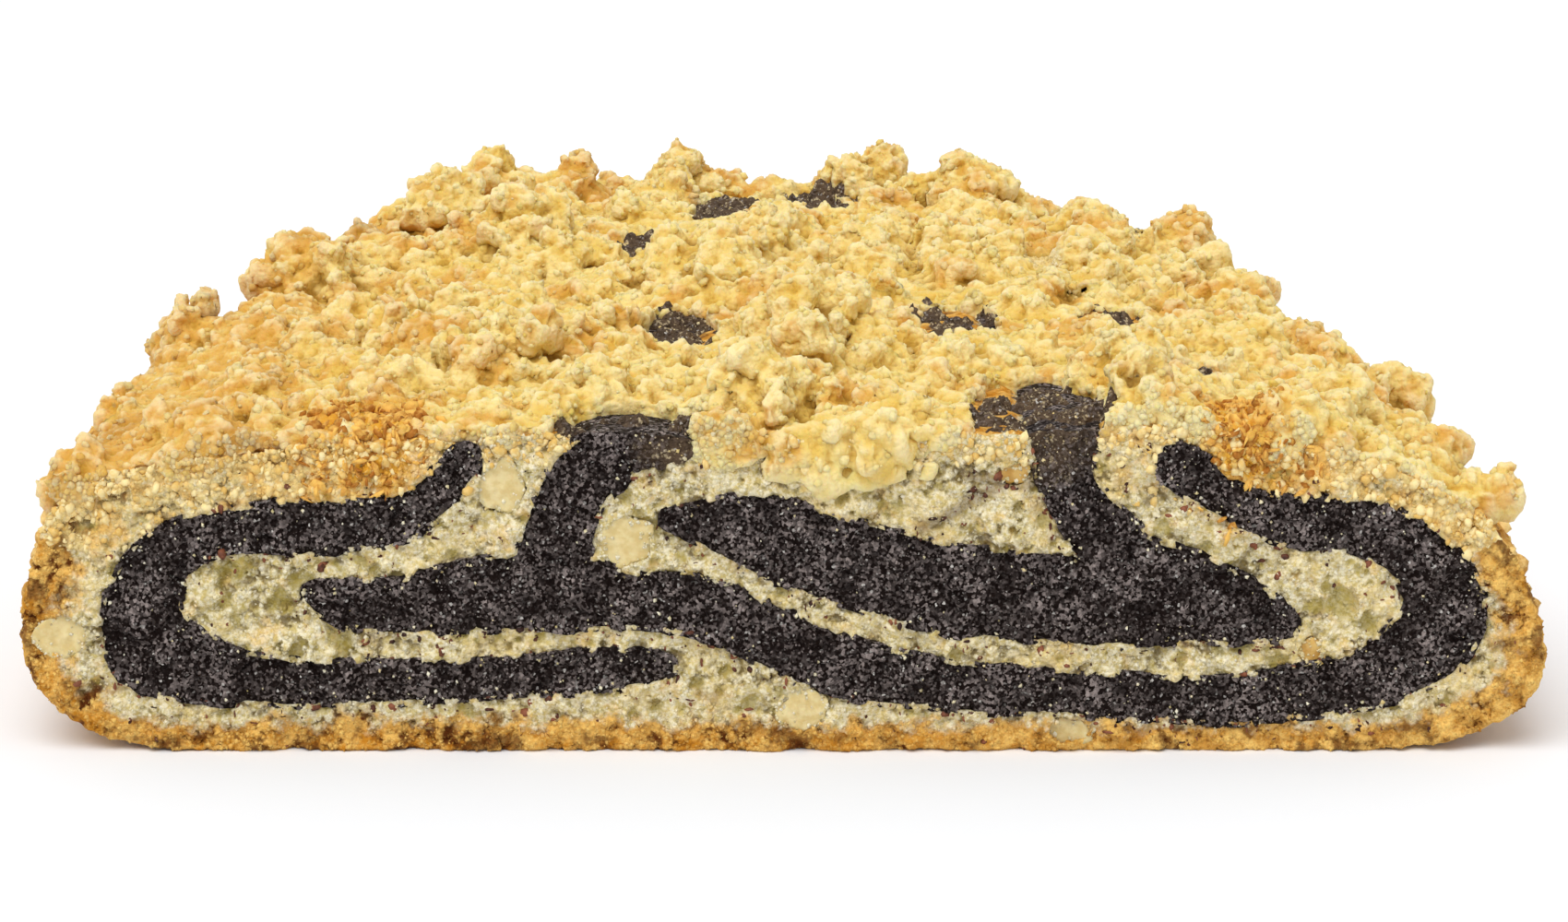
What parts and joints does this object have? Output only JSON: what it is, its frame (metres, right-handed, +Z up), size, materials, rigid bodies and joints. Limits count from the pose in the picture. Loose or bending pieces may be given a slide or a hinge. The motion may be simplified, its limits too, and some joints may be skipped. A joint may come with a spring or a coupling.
{
  "type": "poppy seed stollen",
  "caption": "Half of a flat rolled sweet loaf cut across, with folded dark poppy seed filling at the cut and a crown of streusel crumbs.",
  "frame": {"origin": "middle of the flat underside, halfway along the loaf", "axes": "+Z up, the cut face looks towards -Y, the rounded end towards +Y, +X to the right as the cut face is seen"},
  "size_m": [0.1653, 0.1556, 0.0475],
  "materials": {
    "sweet_dough": "baked yeast dough: pale cream crumb at the cut, golden brown crust outside",
    "poppy_filling": "ground poppy seed, blue-black, moist and granular",
    "streusel": "butter streusel, pale yellow with golden and browned tips, matte",
    "almond": "chopped blanched almond, waxy, cut flat by the knife",
    "candied_peel": "candied orange peel, glossy and slightly translucent"
  },
  "bodies": {
    "root": {"sweet_dough": "sweet_dough", "poppy_left_coil": "poppy_filling", "poppy_long_fold": "poppy_filling", "poppy_right_fold": "poppy_filling", "streusel_crown": "streusel", "almond_piece_1": "almond", "almond_piece_2": "almond", "almond_piece_3": "almond", "almond_piece_4": "almond", "almond_piece_5": "almond", "peel_piece_1": "candied_peel", "peel_piece_2": "candied_peel"}
  },
  "joints": []
}
